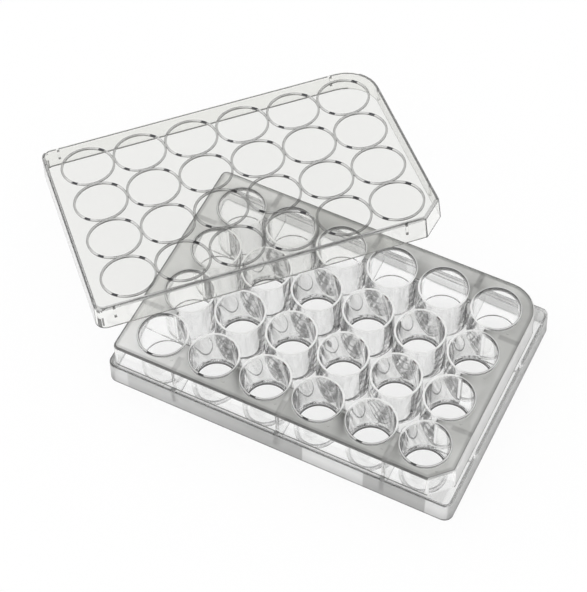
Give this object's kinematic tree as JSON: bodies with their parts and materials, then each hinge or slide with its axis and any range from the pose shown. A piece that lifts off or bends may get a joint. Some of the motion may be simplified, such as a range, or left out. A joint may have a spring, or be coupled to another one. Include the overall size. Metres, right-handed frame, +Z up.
{
  "type": "well plate",
  "caption": "Clear multi-well culture plate with round open wells in a grid, its loose clear lid lifted off and leaning across one corner.",
  "frame": {"origin": "middle of the plate's footprint, on the surface it stands on", "axes": "+X along the plate's long side, +Y along its short side away from the front, +Z up out of the wells"},
  "size_m": [0.1895, 0.1476, 0.0291],
  "materials": {
    "clear_plate": "clear polished moulding with frosted deck and skirt panels",
    "clear_lid": "clear polished moulding"
  },
  "bodies": {
    "root": {"plate": "clear_plate", "lid": "clear_lid"}
  },
  "joints": []
}
